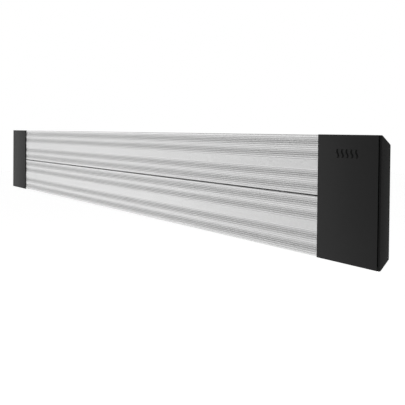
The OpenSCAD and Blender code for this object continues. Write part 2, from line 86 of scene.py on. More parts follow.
room_light = room_ramp("Y", -0.35, 0.25, front_wall, white_wall)
for shade in (room_ramp("Z", 0.3, 0.9, 1.0, ceiling), room_ramp("X", -0.25, 0.45, 1.0, right_wall)):
    room_product = room_nodes.new("ShaderNodeMath")
    room_product.operation = "MULTIPLY"
    room_links.new(room_light, room_product.inputs[0])
    room_links.new(shade, room_product.inputs[1])
    room_light = room_product.outputs[0]
room_links.new(room_light, room_nodes["Background"].inputs["Strength"])
room_nodes["Background"].inputs["Color"].default_value = (1, 1, 1, 1)
bpy.context.scene.world = room


def soft_box(name, place, target, width, height, power):
    """A wide rectangular lamp at a place, facing a target."""
    lamp = bpy.data.lights.new(name, "AREA")
    lamp.shape = "RECTANGLE"
    lamp.size = width
    lamp.size_y = height
    lamp.energy = power
    holder = bpy.data.objects.new(name, lamp)
    bpy.context.scene.collection.objects.link(holder)
    direction = Vector(target) - Vector(place)
    holder.rotation_euler = direction.to_track_quat("-Z", "Y").to_euler()
    holder.location = place


soft_box("left_box", (-2.2, -1.75, 0.25), (0, -0.1, 0), 1.6, 1.2, 12)
soft_box("top_box", (0.3, -0.9, 2.2), (0, 0, 0), 2.4, 1.0, 20)
soft_box("low_box", (-0.3, -0.75, -0.62), (-0.3, 0, 0), 2.2, 0.4, 1.5)

floor_z = -0.95
bpy.ops.object.select_all(action="DESELECT")
bpy.ops.mesh.primitive_plane_add(size=24, location=(0, 0, floor_z))
floor = bpy.context.object
floor.name = "floor"
floor_paint = bpy.data.materials.new("floor_paint")
floor_paint.use_nodes = True
for key, value in (("Base Color", (0.94, 0.94, 0.94, 1)), ("Roughness", 0.9),
                   ("Emission Color", (1, 1, 1, 1)), ("Emission Strength", 0.5)):
    floor_paint.node_tree.nodes["Principled BSDF"].inputs[key].default_value = value
floor.data.materials.append(floor_paint)

# ---- Wall brackets ----
# Each is a zinc-plated steel base plate with two ears welded square to it, drilled for two
# wall screws and for the pivot bolt. They stand on the wall and carry the whole heater.
mm = 0.001


def only(piece):
    """Deselects everything but one piece and makes it the active one."""
    bpy.ops.object.select_all(action="DESELECT")
    piece.select_set(True)
    bpy.context.view_layer.objects.active = piece


def blank(name, primitive, at, turn=(0, 0, 0), scale=(1, 1, 1), **shape):
    """Adds a primitive, its sizes in metres, and puts its place and turn in its mesh."""
    bpy.ops.object.select_all(action="DESELECT")
    primitive(location=Vector(at) * mm, rotation=turn, **shape)
    piece = bpy.context.object
    piece.name = name
    piece.data.name = name
    piece.scale = scale
    bpy.ops.object.transform_apply(location=True, rotation=True, scale=True)
    return piece


def block(name, low, high):
    """A box between two corners in millimetres."""
    low = Vector(low)
    high = Vector(high)
    return blank(name, bpy.ops.mesh.primitive_cube_add, (low + high) / 2,
                 scale=(high - low) * mm, size=1)


def bar(name, at, turn, radius, length, sides=48):
    """A round bar centred at a point, along Z before it is turned."""
    return blank(name, bpy.ops.mesh.primitive_cylinder_add, at, turn,
                 vertices=sides, radius=radius * mm, depth=length * mm)


ALONG_X = (0, math.pi / 2, 0)
ALONG_Y = (-math.pi / 2, 0, 0)


def pick(piece, kind, wanted):
    """In edit mode, selects vertices by place, edges by middle and direction, or faces by
    middle and normal, in millimetres."""
    if bpy.context.mode != "EDIT_MESH":
        only(piece)
        bpy.ops.object.mode_set(mode="EDIT")
    bpy.ops.mesh.select_mode(type=kind)
    bpy.ops.mesh.select_all(action="DESELECT")
    work = bmesh.from_edit_mesh(piece.data)
    if kind == "VERT":
        for v in work.verts:
            v.select_set(wanted(v.co / mm))
    elif kind == "EDGE":
        for e in work.edges:
            a, b = (v.co / mm for v in e.verts)
            e.select_set(wanted((a + b) / 2, (b - a).normalized()))
    else:
        for f in work.faces:
            f.select_set(wanted(f.calc_center_median() / mm, f.normal))
    work.select_flush_mode()
    bmesh.update_edit_mesh(piece.data)


def done():
    bpy.ops.object.mode_set(mode="OBJECT")


def bevel(piece, wanted, radius, segments=3):
    """Rounds the edges that pass a test on their middle and direction."""
    pick(piece, "EDGE", wanted)
    bpy.ops.mesh.bevel(offset=radius * mm, segments=segments, profile=0.5, affect="EDGES")
    done()


def modify(piece, kind, **settings):
    """Adds a modifier, sets it and applies it."""
    only(piece)
    modifier = piece.modifiers.new(kind.lower(), kind)
    for key, value in settings.items():
        setattr(modifier, key, value)
    bpy.ops.object.modifier_apply(modifier=modifier.name)


def soften(piece, width, segments=2, angle=40):
    """Breaks every sharp edge of a piece."""
    modify(piece, "BEVEL", width=width * mm, segments=segments, limit_method="ANGLE",
           angle_limit=math.radians(angle))


def cut(piece, cutter, operation="DIFFERENCE"):
    """Cuts a piece with another, which is used up."""
    modify(piece, "BOOLEAN", operation=operation, object=cutter, solver="EXACT")
    bpy.data.objects.remove(cutter)


def outward(piece):
    """Merges doubles and points every face outwards."""
    pick(piece, "VERT", lambda p: True)
    bpy.ops.mesh.remove_doubles(threshold=0.00001)
    bpy.ops.mesh.normals_make_consistent(inside=False)
    if bmesh.from_edit_mesh(piece.data).calc_volume(signed=True) < 0:
        bpy.ops.mesh.flip_normals()
    done()


def smooth(piece, angle=35):
    only(piece)
    bpy.ops.object.shade_smooth_by_angle(angle=math.radians(angle))


def seat(piece, at, turn=(0, 0, 0), scale=(1, 1, 1)):
    """Moves a piece to its place, in its mesh."""
    only(piece)
    piece.location = Vector(at) * mm
    piece.rotation_euler = turn
    piece.scale = scale
    bpy.ops.object.transform_apply(location=True, rotation=True, scale=True)
    return piece


def copied(piece, name, at=(0, 0, 0), turn=(0, 0, 0), scale=(1, 1, 1)):
    """A copy with its own mesh, moved to its place."""
    only(piece)
    bpy.ops.object.duplicate(linked=False)
    twin = bpy.context.object
    twin.name = name
    twin.data.name = name
    seat(twin, at, turn, scale)
    if scale[0] * scale[1] * scale[2] < 0:
        outward(twin)
    return twin


def joined(pieces, name):
    """One piece from several."""
    only(pieces[0])
    for piece in pieces[1:]:
        piece.select_set(True)
    bpy.ops.object.join()
    whole = bpy.context.object
    whole.name = name
    whole.data.name = name
    return whole


class Wire:
    """A node's output; arithmetic on it adds Math nodes."""

    def __init__(self, finish, socket):
        self.finish = finish
        self.socket = socket

    def math(self, operation, *values):
        return self.finish.add("ShaderNodeMath", {"operation": operation}, dict(enumerate(values)))

    def __add__(self, other):
        return self.math("ADD", self, other)

    def __radd__(self, other):
        return self.math("ADD", other, self)

    def __sub__(self, other):
        return self.math("SUBTRACT", self, other)

    def __rsub__(self, other):
        return self.math("SUBTRACT", other, self)

    def __mul__(self, other):
        return self.math("MULTIPLY", self, other)

    def __rmul__(self, other):
        return self.math("MULTIPLY", other, self)

    def __truediv__(self, other):
        return self.math("DIVIDE", self, other)

    def __pow__(self, other):
        return self.math("POWER", self, other)

    def clamped(self):
        return self.finish.add("ShaderNodeClamp", values={"Value": self})


class Finish:
    """A material on one Principled shader."""

    def __init__(self, name, **constants):
        self.material = bpy.data.materials.new(name)
        self.material.use_nodes = True
        self.tree = self.material.node_tree
        self.shader = self.tree.nodes["Principled BSDF"]
        for key, value in constants.items():
            self.feed(key.replace("_", " "), value)

    def add(self, kind, settings=None, values=None, output=0):
        """Adds a node, makes its settings, then sets or links its inputs."""
        node = self.tree.nodes.new(kind)
        for key, value in (settings or {}).items():
            setattr(node, key, value)
        for key, value in (values or {}).items():
            self.join(node.inputs[key], value)
        return Wire(self, node.outputs[output])

    def join(self, socket, value):
        if isinstance(value, Wire):
            self.tree.links.new(value.socket, socket)
        else:
            socket.default_value = value

    def feed(self, key, value):
        """Sets or links an input of the shader."""
        self.join(self.shader.inputs[key], value)

    def noise(self, scale, detail=2.0, stretch=(1, 1, 1), roughness=0.5):
        """Noise on the piece's own coordinates; scale is in lumps per metre."""
        place = self.add("ShaderNodeTexCoord", output="Object")
        spread = self.add("ShaderNodeMapping", values={"Vector": place, "Scale": stretch})
        return self.add("ShaderNodeTexNoise", values={
            "Vector": spread, "Scale": scale, "Detail": detail, "Roughness": roughness})

    def cells(self, scale, feature="F1", output="Distance", stretch=(1, 1, 1)):
        """Cells on the piece's own coordinates; scale is in cells per metre."""
        place = self.add("ShaderNodeTexCoord", output="Object")
        spread = self.add("ShaderNodeMapping", values={"Vector": place, "Scale": stretch})
        return self.add("ShaderNodeTexVoronoi", {"feature": feature},
                        {"Vector": spread, "Scale": scale}, output)

    def blend(self, share, first, second):
        """A colour between two others."""
        return self.add("ShaderNodeMix", {"data_type": "RGBA"}, {0: share, 6: first, 7: second}, 2)

    def relief(self, height, depth, strength=1.0):
        """Raises the surface by a height from 0 to 1, its depth in millimetres."""
        self.feed("Normal", self.add("ShaderNodeBump", values={
            "Height": height, "Distance": depth * mm, "Strength": strength}))


def grey(value, warm=0.0):
    """A grey, a little warmer or cooler."""
    return (value * (1 + warm), value, value * (1 - warm), 1)


def zinc(name, shade, warm, spangle):
    """Zinc plate: faint crystals, rolling streaks and handling marks."""
    finish = Finish(name, Metallic=0.95)
    crystals = finish.cells(spangle, output="Color")
    streaks = finish.noise(90, 4, stretch=(1, 1, 9))
    marks = finish.noise(38, 5, roughness=0.65)
    tone = (crystals * 0.35 + streaks * 0.35 + marks * 0.5).clamped()
    finish.feed("Base Color", finish.blend(tone, grey(shade * 0.72, warm), grey(shade * 1.08, warm)))
    finish.feed("Roughness", 0.26 + 0.12 * crystals + 0.16 * marks)
    finish.relief(streaks * 0.4 + crystals * 0.3, 0.02, 0.5)
    return finish


def wear(piece, finish, body, slot, *cad_nodes):
    """Gives a finished piece its material and body, and hides the CAD nodes it stands for. The slot is
    not used.
    """
    piece.data.materials.clear()
    piece.data.materials.append(finish.material)
    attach(piece, body)
    if cad_nodes:
        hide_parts(*cad_nodes)


bracket_zinc = zinc("bracket_zinc", 0.56, -0.03, 420)
pivot_y = -40
pivot_hole = 4.05


def eared_plate(name, x, plate_y, half_w, half_h, corner, ears, foot_y, foot_half, tip_r):
    """A base plate with two ears that taper to a round tip at the pivot, and weld beads."""
    plate = block(name, (x - half_w, plate_y[0], -half_h), (x + half_w, plate_y[1], half_h))
    bevel(plate, lambda p, d: abs(d.y) > 0.9, corner, 6)
    parts = [plate]
    side = 1 if foot_y > pivot_y else -1
    sides = 48
    for e in (-1, 1):
        inner, outer = ears
        ear = bar(name + "_ear", (x + e * (inner + outer) / 2, pivot_y, 0), ALONG_X, tip_r,
                  outer - inner, sides)
        pick(ear, "VERT", lambda p: side * (p.y - pivot_y) > 0.01)
        widest = tip_r * math.cos(2 * math.pi / sides)
        bpy.ops.transform.resize(value=(1, 0, foot_half / widest),
                                 center_override=(x * mm, foot_y * mm, 0))
        done()
        cut(ear, bar("drill", (x + e * (inner + outer) / 2, pivot_y, 0), ALONG_X, pivot_hole,
                     outer - inner + 2))
        soften(ear, 0.35)
        parts.append(ear)
        for edge in ears:
            bead = bar(name + "_weld", (x + e * edge, foot_y, 0), (0, 0, 0), 1.5, 2 * foot_half - 4, 10)
            pick(bead, "EDGE", lambda p, d: abs(d.z) > 0.9)
            bpy.ops.mesh.subdivide(number_cuts=27)
            rings = (2 * foot_half - 4) / 28
            pick(bead, "VERT", lambda p: round(p.z / rings) % 2 == 0)
            bpy.ops.transform.resize(value=(0.8, 0.8, 1),
                                     center_override=((x + e * edge) * mm, foot_y * mm, 0))
            done()
            parts.append(bead)
    return parts


def drilled(plate, places, radius):
    for place in places:
        cut(plate, bar("drill", place, ALONG_Y, radius, 20))
    soften(plate, 0.3)


bracket_x = 350
screw_z = 25
for side, x in (("left", -bracket_x), ("right", bracket_x)):
    parts = eared_plate("wall_bracket_steel_" + side, x, (-3, 0), 30, 35, 6, (15, 18), -2.6, 20, 14)
    drilled(parts[0], [(x, 0, -screw_z), (x, 0, screw_z)], 2.75)
    bracket = joined(parts, "wall_bracket_steel_" + side)
    smooth(bracket)
    wear(bracket, bracket_zinc, "wall_brackets", "bracket_zinc", "wall_bracket_" + side)

# ---- Pivot bolts, flange nuts and nylon washers ----
# Zinc-plated M8 hexagon bolts with flange nuts. The nylon washers keep the ears apart and
# give the drag that holds the heater at its angle.


def turned(name, outline, steps=48):
    """A closed outline of radius and height, drawn point by point and spun round Z."""
    piece = blank(name, bpy.ops.mesh.primitive_plane_add, (0, 0, 0), size=mm)
    only(piece)
    bpy.ops.object.mode_set(mode="EDIT")
    bpy.ops.mesh.select_all(action="SELECT")
    bpy.ops.mesh.merge(type="CENTER")
    last = (0, 0)
    for count, (radius, height) in enumerate(list(outline) + [outline[0]]):
        step = ((radius - last[0]) * mm, 0, (height - last[1]) * mm)
        if count:
            bpy.ops.mesh.extrude_vertices_move(TRANSFORM_OT_translate={"value": step})
        else:
            bpy.ops.transform.translate(value=step)
        last = (radius, height)
    bpy.ops.mesh.select_all(action="SELECT")
    bpy.ops.mesh.spin(steps=steps, angle=2 * math.pi, center=(0, 0, 0), axis=(0, 0, 1))
    done()
    outward(piece)
    return piece


def hexagon(name, across, thickness, hole=0.0):
    """A hexagon standing on Z = 0, its corners chamfered at the top, with a washer face."""
    corner = across / math.sqrt(3)
    piece = bar(name, (0, 0, thickness / 2), (0, 0, 0), corner, thickness, 6)
    drop = (corner - across * 0.47) * math.tan(math.radians(30))
    cone = turned("cone", [(0, -1), (corner + 1, -1), (corner + 1, thickness - drop - 0.3),
                           (across * 0.47, thickness), (0, thickness)])
    cut(piece, cone, "INTERSECT")
    if hole:
        cut(piece, bar("drill", (0, 0, thickness / 2), (0, 0, 0), hole, thickness + 2))
    soften(piece, 0.15, 2, 25)
    return piece


def threaded(name, radius, length, pitch, sides=32):
    """A threaded bar standing on Z = 0: rings cut between the crests, and a broken tip."""
    piece = bar(name, (0, 0, length / 2), (0, 0, 0), radius, length, sides)
    turns = round(length / pitch)
    pick(piece, "EDGE", lambda p, d: abs(d.z) > 0.9)
    bpy.ops.mesh.subdivide(number_cuts=2 * turns - 1)
    half_pitch = length / turns / 2
    pick(piece, "VERT", lambda p: round(p.z / half_pitch) % 2 == 1)
    root = (radius - 0.55 * pitch) / radius
    bpy.ops.transform.resize(value=(root, root, 1), center_override=(0, 0, 0))
    pick(piece, "VERT", lambda p: p.z > length - 0.01)
    bpy.ops.transform.resize(value=(root, root, 1), center_override=(0, 0, 0))
    done()
    return piece


bolt_steel = zinc("bolt_steel", 0.50, -0.02, 900)
ear_out = 18
m8 = 3.95
bolt_head = hexagon("bolt_head", 13, 5.3)
bolt_shank = bar("bolt_shank", (0, 0, -(2 * ear_out + 1) / 2), (0, 0, 0), m8, 2 * ear_out + 1, 32)
bolt_thread = threaded("bolt_thread", m8, 8.9, 1.25)
seat(bolt_thread, (0, 0, -2 * ear_out - 1), (math.pi, 0, 0))
bolt_pattern = joined([bolt_head, bolt_shank, bolt_thread], "bolt_pattern")
smooth(bolt_pattern, 30)
nut_body = hexagon("nut_body", 13, 6.5)
nut_flange = turned("nut_flange", [(3.9, 0), (7.8, 0), (8.0, 0.35), (7.9, 0.8), (6.2, 1.6), (3.9, 1.6)])
nut_pattern = seat(nut_body, (0, 0, 1.3))
cut(nut_pattern, nut_flange, "UNION")
cut(nut_pattern, bar("drill", (0, 0, 4), (0, 0, 0), m8 + 0.05, 12))
smooth(nut_pattern, 30)
TO_LEFT = (0, -math.pi / 2, 0)
for side, x in (("left", -bracket_x), ("right", bracket_x)):
    bolt = copied(bolt_pattern, "pivot_bolt_steel_" + side, (x - ear_out, pivot_y, 0), TO_LEFT)
    wear(bolt, bolt_steel, "wall_brackets", "bolt_steel", "pivot_bolt_" + side)
    nut = copied(nut_pattern, "pivot_nut_" + side, (x + ear_out, pivot_y, 0), ALONG_X)
    wear(nut, bolt_steel, "wall_brackets", "bolt_steel", "pivot_nuts")
bpy.data.objects.remove(bolt_pattern)
bpy.data.objects.remove(nut_pattern)

nylon = Finish("nylon", Roughness=0.42)
nylon_cloud = nylon.noise(160, 3)
nylon.feed("Base Color", nylon.blend(nylon_cloud, (0.74, 0.72, 0.66, 1), (0.84, 0.83, 0.78, 1)))
nylon.relief(nylon.noise(1800, 2), 0.02)
nylon_ring = turned("nylon_ring", [(4.05, -0.45), (8.7, -0.45), (9, -0.2), (9, 0.2), (8.7, 0.45),
                                   (4.05, 0.45)])
smooth(nylon_ring)
for side, x in (("left", -bracket_x), ("right", bracket_x)):
    for place, e in (("outer", -1), ("inner", 1)):
        washer = copied(nylon_ring, "pivot_washer_" + side + "_" + place,
                        (x + e * 14.55, pivot_y, 0), ALONG_X)
        wear(washer, nylon, "wall_brackets", "nylon", "pivot_washers")
bpy.data.objects.remove(nylon_ring)

# ---- Rear housing ----
# One sheet of 1 mm steel, folded into a tray with sloping sides and return flanges, and
# painted light grey. Eight threaded studs are pressed into its back for the lugs.
half_height = 80
front_y = -92
back_y = -70
flat_depth = 3.8
chamfer_run = 18.2
chamfer_height = 11.2
chamfer_length = math.hypot(chamfer_run, chamfer_height)


def chamfer_z(y, inset):
    """Half the height of the section at depth y, shrunk by an inset all round."""
    slope = chamfer_height / chamfer_run
    return half_height - inset * chamfer_length / chamfer_run - slope * (y - front_y - flat_depth)


step = 0.6
housing_back = back_y - step
housing_front = -86.5
housing_end = 489.8
housing_top = chamfer_z(housing_back, step)
return_width = 8
sheet = 1.0
housing = blank("rear_housing_sheet", bpy.ops.mesh.primitive_plane_add, (0, housing_back, 0),
                ALONG_Y, (2 * housing_end * mm, 2 * housing_top * mm, 1), size=1)
seat(housing, (0, 0, 0))
for up in (1, -1):
    edge_z = up * chamfer_z(housing_front, step)
    pick(housing, "EDGE", lambda p, d: abs(d.x) > 0.9 and up * p.z > housing_top - 1)
    bpy.ops.mesh.extrude_edges_move(TRANSFORM_OT_translate={
        "value": (0, (housing_front - housing_back) * mm, (edge_z - up * housing_top) * mm)})
    bpy.ops.mesh.extrude_edges_move(TRANSFORM_OT_translate={
        "value": (0, 0, -up * return_width * mm)})
    done()
bevel(housing, lambda p, d: abs(d.x) > 0.9 and abs(p.z) > housing_top - 0.5, 1.6, 4)
modify(housing, "SOLIDIFY", thickness=sheet * mm, offset=-1, use_even_offset=True)
bevel(housing, lambda p, d: abs(d.x) < 0.2 and abs(p.x) > housing_end - 0.1, 0.15, 1)
smooth(housing, 25)

housing_grey = Finish("housing_grey", Metallic=0.0, Specular_IOR_Level=0.4)
paint_peel = housing_grey.noise(520, 3, roughness=0.55)
paint_fleck = housing_grey.noise(2600, 2)
paint_cloud = housing_grey.noise(5, 4)
paint_tone = (paint_cloud * 0.7 + paint_fleck * 0.3).clamped()
housing_grey.feed("Base Color", housing_grey.blend(paint_tone, grey(0.42), grey(0.50)))
housing_grey.feed("Roughness", 0.42 + 0.16 * paint_peel)
housing_grey.relief(paint_peel * 0.7 + paint_fleck * 0.3, 0.06, 0.6)
wear(housing, housing_grey, "heater", "housing_grey", "rear_housing")

stud_places = [(s * bracket_x + sx * 20.5, sz * 16)
               for s in (-1, 1) for sx in (-1, 1) for sz in (-1, 1)]
stud_pattern = threaded("stud_pattern", 2.45, 10.4, 0.8, 24)
studs = [copied(stud_pattern, "stud", (x, housing_back, z), ALONG_Y) for x, z in stud_places]
bpy.data.objects.remove(stud_pattern)
stud_set = joined(studs, "lug_studs")
smooth(stud_set, 40)
wear(stud_set, bolt_steel, "heater", "bolt_steel")

# ---- Tilt lugs ----
# Zinc-plated steel plates with a pair of welded ears, held on the studs with washers and
# nuts. Their ears turn inside the wall brackets' ears.
lug_zinc = zinc("lug_zinc", 0.60, 0.01, 380)
lug_back = housing_back + 2.5
for side, x in (("left", -bracket_x), ("right", bracket_x)):
    parts = eared_plate("tilt_lug_steel_" + side, x, (housing_back, lug_back), 27, 25, 4,
                        (11.5, 14), lug_back - 0.3, 17, 12)
    drilled(parts[0], [(px, lug_back, pz) for px, pz in stud_places if abs(px - x) < 30], 2.8)
    lug = joined(parts, "tilt_lug_steel_" + side)
    smooth(lug)
    wear(lug, lug_zinc, "heater", "lug_zinc", "tilt_lug_" + side)

washer_ring = turned("washer_ring", [(2.7, 0), (4.85, 0), (5, 0.2), (5, 0.85), (4.85, 1), (2.7, 1)])
lug_nut = hexagon("lug_nut", 8, 4, 2.6)
smooth(washer_ring)
smooth(lug_nut, 30)
washers = [copied(washer_ring, "washer", (x, lug_back, z), ALONG_Y) for x, z in stud_places]
nuts = [copied(lug_nut, "nut", (x, lug_back + 1, z), (-math.pi / 2, 0.35 * k, 0))
        for k, (x, z) in enumerate(stud_places)]
bpy.data.objects.remove(washer_ring)
bpy.data.objects.remove(lug_nut)
wear(joined(washers, "lug_washer_set"), bolt_steel, "heater", "bolt_steel", "lug_washers")
wear(joined(nuts, "lug_nut_set"), bolt_steel, "heater", "bolt_steel", "lug_nuts")

# ---- Emitter plates ----
# Two aluminium extrusions, ribbed along their whole length and anodised in silver. A band
# of finer ribs runs over each element, and T-slot rails run along the back.
crest_y = -90.2
plate_back = -86.8
plate_z = (0.7, 79.4)
plate_middle = 40.05
plate_end = 504
rib_pitch = 2.63
rib_depth = 0.7
rib_swell = 0.35
swell_period = 16.1
swell_start = 5.45
band_half = 5.8
band_ribs = 8
band_depth = 0.25
ribs_per_side = 12
edge_round = 1.7
edge_drop = 0.9


def groove(u):
    """Depth of the face below the crests, at a height from the plate's middle."""
    a = abs(u)
    rim = max(0, (plate_z[1] - plate_z[0]) / 2 - a)
    if rim < edge_round:
        return edge_drop * (1 - math.sqrt(1 - (1 - rim / edge_round) ** 2))
    if a >= band_half + ribs_per_side * rib_pitch:
        return 0
    if a > band_half:
        swell = rib_depth - rib_swell * math.cos(2 * math.pi * (a - swell_start) / swell_period)
        return swell * (0.5 - 0.5 * math.cos(2 * math.pi * (a - band_half) / rib_pitch))
    return band_depth * (0.5 - 0.5 * math.cos(math.pi * (band_half - a) * band_ribs / band_half))


plate = block("emitter_plate", (-plate_end, crest_y, plate_z[0]), (plate_end, plate_back, plate_z[1]))
rows = 360
for cuts in (17, 19):
    pick(plate, "EDGE", lambda p, d: abs(d.z) > 0.9 and p.y < crest_y + 1)
    bpy.ops.mesh.subdivide(number_cuts=cuts)
row_height = (plate_z[1] - plate_z[0]) / rows
work = bmesh.from_edit_mesh(plate.data)
lines = {}
for v in work.verts:
    if v.co.y < (crest_y + 1) * mm:
        lines.setdefault(round((v.co.z / mm - plate_z[0]) / row_height), []).append(v.index)
for line, members in sorted(lines.items()):
    depth = groove(plate_z[0] + line * row_height - plate_middle)
    if depth > 0.004:
        bpy.ops.mesh.select_all(action="DESELECT")
        work = bmesh.from_edit_mesh(plate.data)
        work.verts.ensure_lookup_table()
        for index in members:
            work.verts[index].select_set(True)
        bpy.ops.transform.translate(value=(0, depth * mm, 0))
flat_end = front_y + flat_depth - step * 0.3
bpy.ops.mesh.select_all(action="SELECT")
bpy.ops.mesh.bisect(plane_co=(0, flat_end * mm, 0), plane_no=(0, 1, 0))
pick(plate, "VERT", lambda p: p.y > plate_back - 0.1 and p.z > plate_z[1] - 0.1)
bpy.ops.transform.translate(value=(0, 0, (chamfer_z(plate_back, step) - plate_z[1]) * mm))
done()
cap_in = 490
cope_z = chamfer_z(plate_back, 1.6) - 0.3
for s in (-1, 1):
    low, high = sorted((s * (cap_in - 0.8), s * (plate_end + 5)))
    cut(plate, block("cope", (low, front_y, cope_z), (high, back_y, half_height + 2)))
rail_end = cap_in - 18
rail_z = 13
parts = [plate]
for s in (-1, 1):
    z = plate_middle + s * rail_z
    rail = block("rail", (-rail_end, plate_back - 0.4, z - 5.5), (rail_end, plate_back + 7.4, z + 5.5))
    cut(rail, block("slot", (-rail_end - 5, plate_back + 2, z - 3.9),
                    (rail_end + 5, plate_back + 5.4, z + 3.9)))
    cut(rail, block("neck", (-rail_end - 5, plate_back + 5, z - 2.3),
                    (rail_end + 5, plate_back + 9, z + 2.3)))
    parts.append(rail)
boss = block("boss", (-rail_end, plate_back - 0.4, plate_middle - 7.6),
             (rail_end, plate_back + 3.4, plate_middle + 7.6))
cut(boss, bar("channel", (0, -83.2, plate_middle), ALONG_X, 3.25, 2 * rail_end + 10))
parts.append(boss)
plate_upper = joined(parts, "emitter_extrusion_upper")
plate_lower = copied(plate_upper, "emitter_extrusion_lower", scale=(1, 1, -1))

anodised = Finish("anodised", Metallic=0.9)
die_lines = anodised.noise(260, 4, stretch=(0.004, 1, 6))
etch = anodised.noise(2400, 3, roughness=0.6)
mottle = anodised.noise(14, 4, stretch=(0.4, 1, 1))
plate_tone = (die_lines * 0.5 + etch * 0.2 + mottle * 0.3).clamped()
plate_place = anodised.add("ShaderNodeTexCoord", output="Object")
plate_depth = anodised.add("ShaderNodeSeparateXYZ", values={0: plate_place}, output="Y")
plate_height = anodised.add("ShaderNodeSeparateXYZ", values={0: plate_place}, output="Z")
# Painted shade: the colour turns darker grey with depth below the crests, over 1 mm, standing in for
# the shade that falls into the grooves.
groove_shade_fade = 1.0
groove_painted_shade = ((plate_depth - crest_y * mm) / (groove_shade_fade * mm)).clamped() ** 0.6
# Painted shade: the plates turn darker grey within 3.4 mm of the seam between them, toning down the
# light their rounded edges catch there.
seam_shade_fade = 3.4
seam_painted_shade = (1 - (plate_height * plate_height) ** 0.5 / (seam_shade_fade * mm)).clamped()
plate_shade = anodised.blend(plate_tone, grey(0.52), grey(0.66))
plate_shade = anodised.blend(seam_painted_shade, plate_shade, grey(0.40))
anodised.feed("Base Color", anodised.blend(groove_painted_shade, plate_shade, grey(0.40)))
anodised.feed("Roughness", 0.34 + 0.12 * etch + 0.1 * mottle)
anodised.relief(die_lines * 0.7 + etch * 0.3, 0.01, 0.4)
for half, extrusion in (("upper", plate_upper), ("lower", plate_lower)):
    smooth(extrusion, 50)
    wear(extrusion, anodised, "heater", "anodised", "emitter_plate_" + half)

# ---- Elements, clips, cross bars, shield and mat ----
# Sheathed elements lie in the plates' channels under spring saddles. Zinc-plated bars bolt
# both plates to the housing, with a foil shield and a fibre mat between.


def dress(finish, *names):
    """Gives CAD parts a material."""
    for name in names:
        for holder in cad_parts[name].material_slots:
            holder.material = finish.material


sheath = Finish("element_sheath", Metallic=0.85)
heat_tint = sheath.noise(22, 4, stretch=(0.5, 1, 1))
sheath_grain = sheath.noise(1500, 3)
sheath.feed("Base Color", sheath.blend(heat_tint, (0.10, 0.09, 0.085, 1), (0.21, 0.18, 0.15, 1)))
sheath.feed("Roughness", 0.42 + 0.2 * sheath_grain)
sheath.relief(sheath_grain, 0.02)
dress(sheath, "heating_element_upper", "heating_element_lower")

ceramic = Finish("ceramic", Roughness=0.5)
ceramic_grain = ceramic.noise(1400, 3)
ceramic.feed("Base Color", ceramic.blend(ceramic_grain, (0.66, 0.62, 0.54, 1), (0.80, 0.77, 0.70, 1)))
ceramic.relief(ceramic_grain, 0.03)
dress(ceramic, "element_insulators", "terminal_block")

brass = Finish("brass", Metallic=1.0)
brass_tarnish = brass.noise(260, 4)
brass.feed("Base Color", brass.blend(brass_tarnish, (0.48, 0.33, 0.13, 1), (0.72, 0.54, 0.26, 1)))
brass.feed("Roughness", 0.24 + 0.22 * brass_tarnish)
brass.relief(brass.noise(1900, 2), 0.01)
dress(brass, "element_terminals", "terminal_screws", "earth_stud")

spring = Finish("spring_steel", Metallic=0.95)
blueing = spring.noise(120, 4)
spring.feed("Base Color", spring.blend(blueing, (0.19, 0.20, 0.23, 1), (0.34, 0.33, 0.32, 1)))
spring.feed("Roughness", 0.3 + 0.2 * blueing)
spring.relief(spring.noise(1600, 2), 0.01)
dress(spring, "element_clips")

bar_zinc = zinc("bar_zinc", 0.54, -0.02, 520)
dress(bar_zinc, *["cross_bar_%d" % k for k in range(1, 6)], "bulkhead_left", "bulkhead_right")
dress(bolt_steel, "bar_bolts", "bar_nuts")

foil = Finish("shield_foil", Metallic=1.0)
creases = foil.cells(45, feature="DISTANCE_TO_EDGE")
rolling = foil.noise(60, 4, stretch=(0.1, 1, 4))
foil.feed("Base Color", foil.blend(rolling, grey(0.62), grey(0.78)))
foil.feed("Roughness", 0.2 + 0.16 * rolling)
foil.relief(creases * 4 + rolling * 0.5, 0.25)
dress(foil, "heat_shield")

fibre = Finish("mat_fibre", Roughness=0.95)
strands = fibre.noise(900, 6, stretch=(1, 3, 1), roughness=0.7)
fibre.feed("Base Color", fibre.blend(strands, (0.70, 0.67, 0.58, 1), (0.86, 0.84, 0.78, 1)))
fibre.relief(strands, 0.4)
dress(fibre, "insulation_mat")

# ---- End covers ----
# Sleeves of 1.6 mm aluminium in the heater's cross-section, their long edges rounded,
# powder coated in fine matt black. A collar inside each one enters the rear housing.
sleeve_end = 576.9
cover_wall = 1.6


def section_block(name, x0, x1, inset):
    """A block with the heater's cross-section, shrunk by an inset."""
    low_y = front_y + inset
    high_y = back_y - inset
    piece = block(name, (x0, low_y, -half_height + inset), (x1, high_y, half_height - inset))
    turn_y = front_y + flat_depth - inset * 0.3
    only(piece)
    bpy.ops.object.mode_set(mode="EDIT")
    bpy.ops.mesh.select_all(action="SELECT")
    bpy.ops.mesh.bisect(plane_co=(0, turn_y * mm, 0), plane_no=(0, 1, 0))
    drop = half_height - inset - chamfer_z(high_y, inset)
    for up in (1, -1):
        pick(piece, "VERT", lambda p: p.y > high_y - 0.1 and up * p.z > 0)
        bpy.ops.transform.translate(value=(0, 0, -up * drop * mm))
    bpy.ops.mesh.select_all(action="SELECT")
    bpy.ops.mesh.dissolve_limited(angle_limit=math.radians(1))
    done()
    return piece


